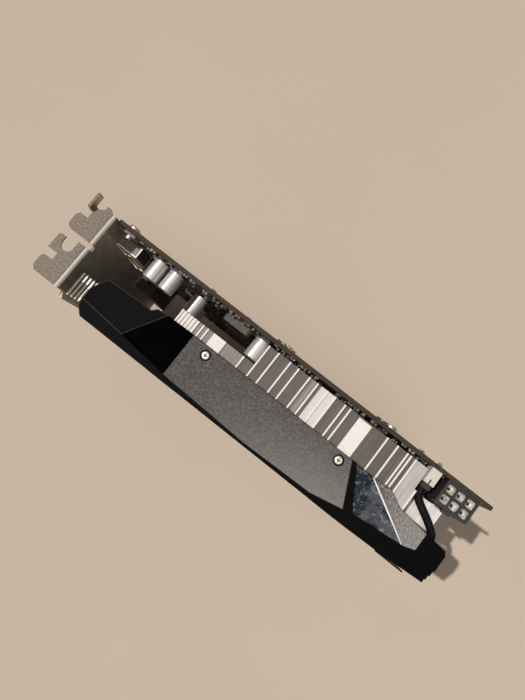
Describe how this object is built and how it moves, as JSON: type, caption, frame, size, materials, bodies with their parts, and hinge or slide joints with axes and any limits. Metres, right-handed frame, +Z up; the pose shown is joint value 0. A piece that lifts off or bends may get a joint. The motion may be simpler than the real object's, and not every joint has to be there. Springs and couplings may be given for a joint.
{
  "type": "graphics card",
  "caption": "Dual-slot graphics card with a slot bracket, finned aluminium cooler, faceted black shroud, two axial fans and a top-edge power socket.",
  "frame": {"origin": "middle of the footprint at the tips of the bracket's tongues", "axes": "+X from the slot bracket towards the tail, +Z up towards the power socket, -Y out of the fans"},
  "size_m": [0.1866, 0.0436, 0.1228],
  "materials": {
    "board": "smooth solder mask",
    "gold_plate": "plated, satin",
    "bracket_steel": "nickel-plated, slightly mottled",
    "screw_nickel": "nickel-plated",
    "port_steel": "plated, bright",
    "port_plastic": "moulded",
    "dvi_plastic": "moulded, off-white",
    "substrate": "solder mask",
    "silicon": "polished silicon",
    "paste": "soft paste",
    "chip_black": "moulded epoxy",
    "pad_grey": "soft silicone",
    "choke_grey": "pressed ferrite powder",
    "can_aluminium": "satin drawn",
    "ceramic": "ceramic with tinned ends",
    "spring_steel": "drawn wire",
    "socket_black": "moulded",
    "tin": "tin-plated",
    "header_white": "moulded, off-white",
    "lead_sleeve": "heat-shrink sleeve",
    "heatsink_aluminium": "extruded, satin",
    "shroud_black": "moulded, semi-gloss",
    "panel_charcoal": "fine matte texture",
    "panel_metallic": "metallic fleck",
    "gloss_black": "piano black",
    "screw_brass": "passivated",
    "screw_black": "black zinc",
    "bearing_bronze": "sintered bronze",
    "lamination": "stacked steel sheet",
    "copper": "enamelled wire",
    "motor_board": "solder mask",
    "fan_black": "moulded",
    "magnet": "bonded ferrite",
    "shaft_steel": "ground"
  },
  "bodies": {
    "card": {"back_parts": "ceramic", "bracket_screws": "screw_nickel", "capacitor_bases": "port_plastic", "capacitor_cans": "can_aluminium", "chokes": "choke_grey", "circuit_board": "board", "control_chips": "chip_black", "cooler_screws": "screw_nickel", "cooler_springs": "spring_steel", "displayport_insert": "port_plastic", "displayport_shell": "port_steel", "dvi_insert": "dvi_plastic", "dvi_jack_posts": "screw_nickel", "dvi_shell": "port_steel", "edge_contacts": "gold_plate", "fan_bearings": "bearing_bronze", "fan_bezels": "panel_charcoal", "fan_header": "header_white", "fan_lead": "lead_sleeve", "fan_plug": "socket_black", "fan_screws": "screw_black", "front_gloss_inserts": "gloss_black", "front_panels": "panel_charcoal", "front_wedges": "gloss_black", "gpu_die": "silicon", "gpu_substrate": "substrate", "hdmi_insert": "port_plastic", "hdmi_shell": "port_steel", "header_pins": "tin", "heatsink": "heatsink_aluminium", "io_bracket": "bracket_steel", "left_fan_mount": "fan_black", "main_panels": "panel_metallic", "memory_chips": "chip_black", "memory_pads": "pad_grey", "mosfets": "chip_black", "motor_boards": "motor_board", "power_pins": "tin", "power_socket": "socket_black", "rear_gloss_inserts": "gloss_black", "right_fan_mount": "fan_black", "shroud": "shroud_black", "shroud_screws": "screw_brass", "small_parts": "ceramic", "stator_coils": "copper", "stator_cores": "lamination", "tail_panels": "panel_metallic", "thermal_paste": "paste"},
    "left_rotor": {"left_fan_impeller": "fan_black", "left_fan_back_iron": "lamination", "left_fan_magnet": "magnet", "left_fan_shaft": "shaft_steel", "left_fan_hub_cap": "gloss_black"},
    "right_rotor": {"right_fan_impeller": "fan_black", "right_fan_back_iron": "lamination", "right_fan_magnet": "magnet", "right_fan_shaft": "shaft_steel", "right_fan_hub_cap": "gloss_black"}
  },
  "joints": [
    {"name": "left_fan_spin", "type": "hinge", "parent": "card", "child": "left_rotor", "pos_m": [-0.03094, -0.0136, 0.0654], "axis": [0, -1, 0], "continuous": true},
    {"name": "right_fan_spin", "type": "hinge", "parent": "card", "child": "right_rotor", "pos_m": [0.04806, -0.0136, 0.0654], "axis": [0, -1, 0], "continuous": true}
  ]
}
